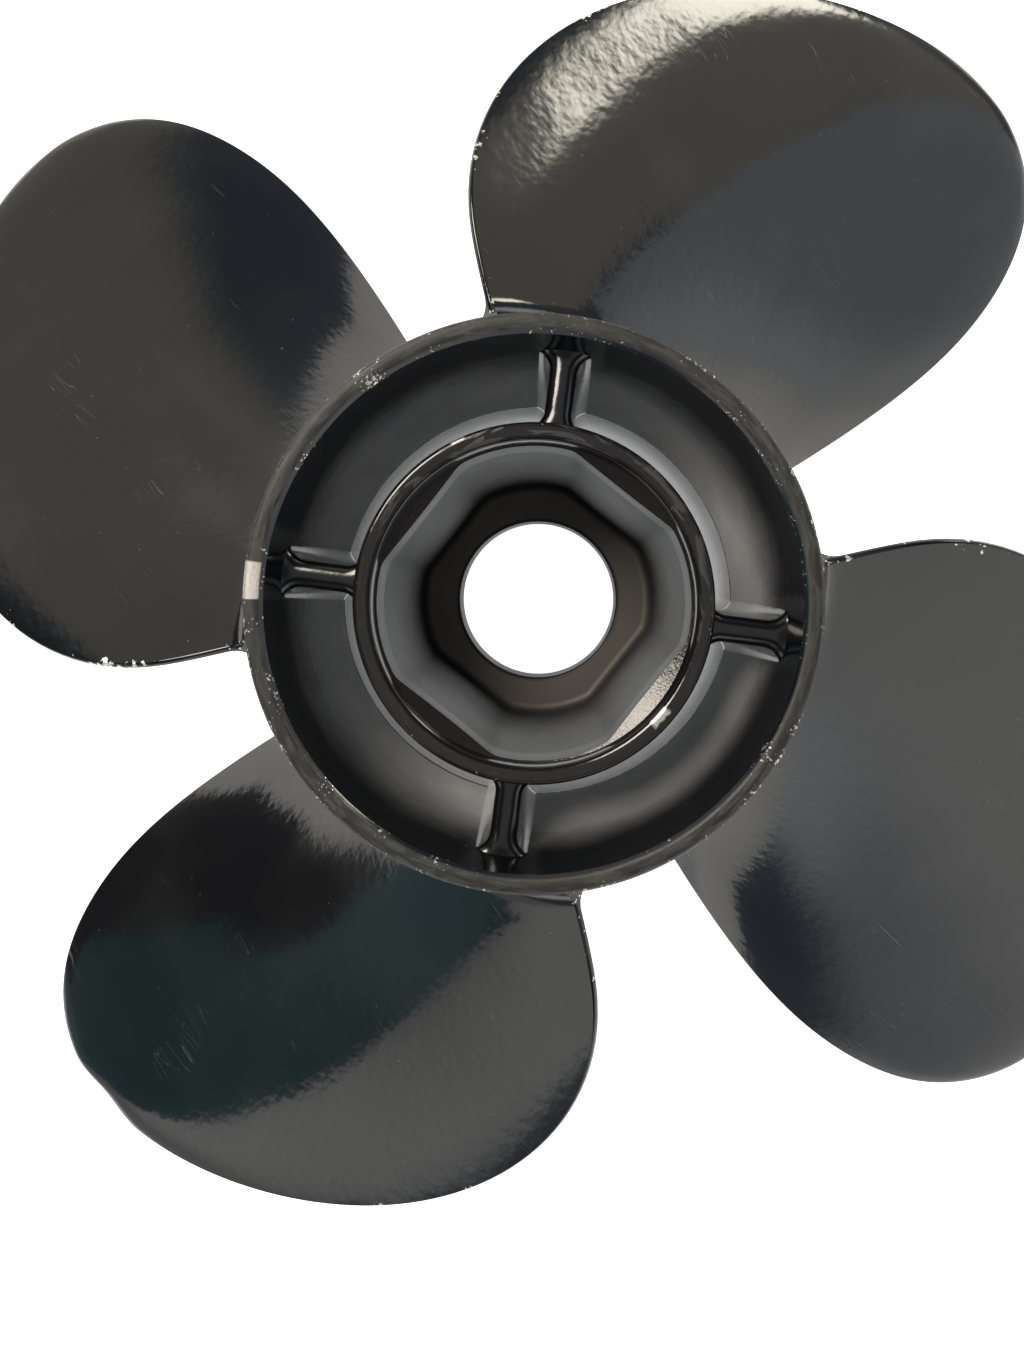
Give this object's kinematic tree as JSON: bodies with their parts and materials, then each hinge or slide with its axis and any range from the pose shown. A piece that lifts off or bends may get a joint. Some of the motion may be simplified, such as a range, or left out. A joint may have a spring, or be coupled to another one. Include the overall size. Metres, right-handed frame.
{
  "type": "outboard propeller",
  "caption": "Cast aluminium boat propeller with broad raked blades on a through-hub exhaust barrel, ribs and an empty tapered drive socket, painted gloss black.",
  "frame": {"origin": "centre of the aft rim's plane, on the shaft axis; the propeller stands on this rim", "axes": "+Z along the shaft axis towards the bow, so the front rim is at the top; +X from the axis to the tip of blade_1; the blades are numbered towards +Y"},
  "size_m": [0.381, 0.381, 0.128],
  "materials": {
    "gloss_black_paint": "gloss black paint over cast aluminium, with orange peel, dust and fine scratches",
    "worn_paint": "scuffed black paint, nicked through to bare aluminium",
    "thin_paint": "thin matte overspray on rough cast aluminium"
  },
  "bodies": {
    "root": {"front_rim": "worn_paint", "barrel_front": "gloss_black_paint", "barrel_rear": "gloss_black_paint", "diffuser_ring": "gloss_black_paint", "hub_front_collar": "worn_paint", "drive_socket": "thin_paint", "hub_rear_flange": "thin_paint", "rib_1": "gloss_black_paint", "rib_2": "gloss_black_paint", "rib_3": "gloss_black_paint", "rib_4": "gloss_black_paint", "blade_1": "gloss_black_paint", "blade_2": "gloss_black_paint", "blade_3": "gloss_black_paint", "blade_4": "gloss_black_paint"}
  },
  "joints": []
}
